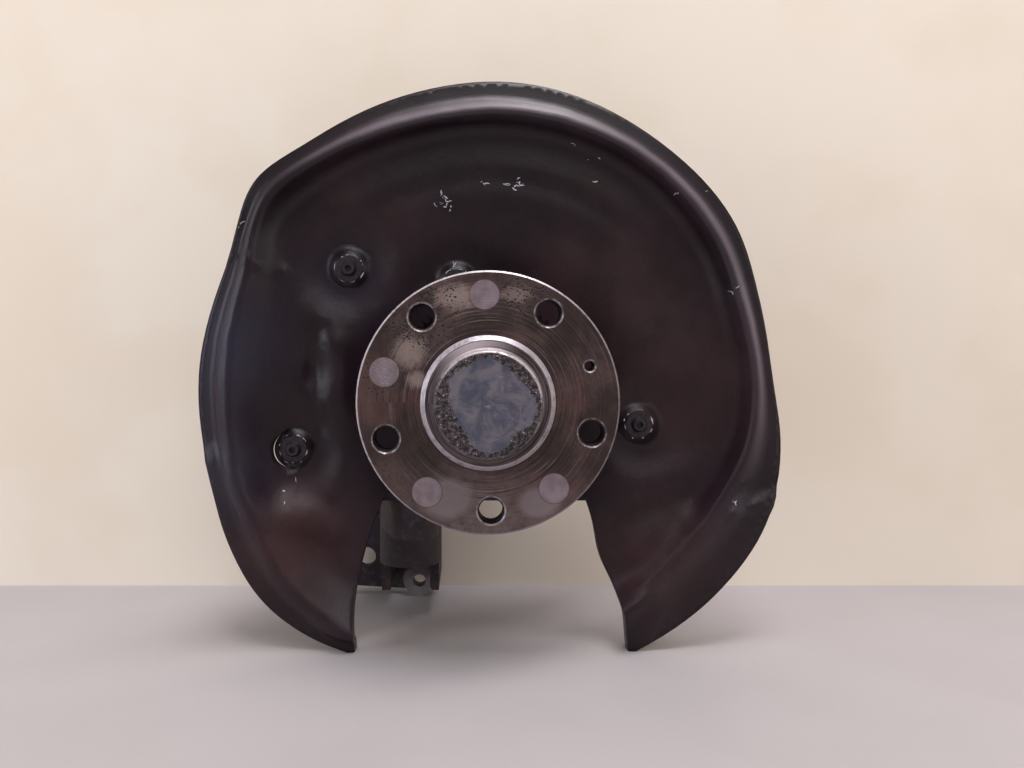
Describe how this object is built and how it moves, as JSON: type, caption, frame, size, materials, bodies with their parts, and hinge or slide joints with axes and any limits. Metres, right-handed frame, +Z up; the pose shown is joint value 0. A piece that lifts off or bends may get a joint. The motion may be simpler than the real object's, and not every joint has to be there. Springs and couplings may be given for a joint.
{
  "type": "wheel hub",
  "caption": "Car wheel hub turning on its cast suspension carrier, with a dished brake splash shield open at the bottom for the caliper.",
  "frame": {"origin": "centre of the flange face that the brake disc sits against", "axes": "+Y along the axle towards the car, +Z up as the part stands, +X to the right as seen from outside"},
  "size_m": [0.3259, 0.1671, 0.3187],
  "materials": {
    "forged_steel": "turned forging with thin brown rust and bright edges",
    "cap_steel": "plated sheet, corroded round its rim",
    "bearing_steel": "ground and polished",
    "cage_plastic": "moulded nylon",
    "plated_steel": "dull zinc plate",
    "carrier_iron": "as cast, dusty, light rust",
    "black_paint": "satin black paint, dusty, chipped",
    "dark_steel": "blackened, worn at the edges",
    "black_plastic": "moulded",
    "seal_rubber": "moulded",
    "bush_rubber": "moulded, aged"
  },
  "bodies": {
    "carrier": {"outboard_inner_ring": "bearing_steel", "inboard_inner_ring": "bearing_steel", "axle_bolt": "plated_steel", "wheel_carrier": "carrier_iron", "speed_sensor": "black_plastic", "sensor_o_ring": "seal_rubber", "sensor_screw": "plated_steel", "splash_shield": "black_paint", "shield_screws": "dark_steel", "lower_rear_bush_sleeve": "plated_steel", "lower_rear_bush_rubber": "bush_rubber", "lower_rear_bush_core": "plated_steel", "lower_front_bush_sleeve": "plated_steel", "lower_front_bush_rubber": "bush_rubber", "lower_front_bush_core": "plated_steel", "upper_bush_sleeve": "plated_steel", "upper_bush_rubber": "bush_rubber", "upper_bush_core": "plated_steel"},
    "hub": {"hub_flange": "forged_steel", "dust_cap": "cap_steel", "inboard_seal": "seal_rubber", "encoder_ring": "seal_rubber"},
    "outboard_row": {"outboard_balls": "bearing_steel", "outboard_cage": "cage_plastic"},
    "inboard_row": {"inboard_balls": "bearing_steel", "inboard_cage": "cage_plastic"}
  },
  "joints": [
    {"name": "hub_spin", "type": "hinge", "parent": "carrier", "child": "hub", "pos_m": [0, 0, 0], "axis": [0, 1, 0], "continuous": true},
    {"name": "outboard_row_spin", "type": "hinge", "parent": "carrier", "child": "outboard_row", "pos_m": [0, 0.012, 0], "axis": [0, 1, 0], "continuous": true},
    {"name": "inboard_row_spin", "type": "hinge", "parent": "carrier", "child": "inboard_row", "pos_m": [0, 0.034, 0], "axis": [0, 1, 0], "continuous": true}
  ],
  "couplings": [
    {"joint": "outboard_row_spin", "follows": "hub_spin", "ratio": 0.6034},
    {"joint": "inboard_row_spin", "follows": "hub_spin", "ratio": 0.6034}
  ]
}
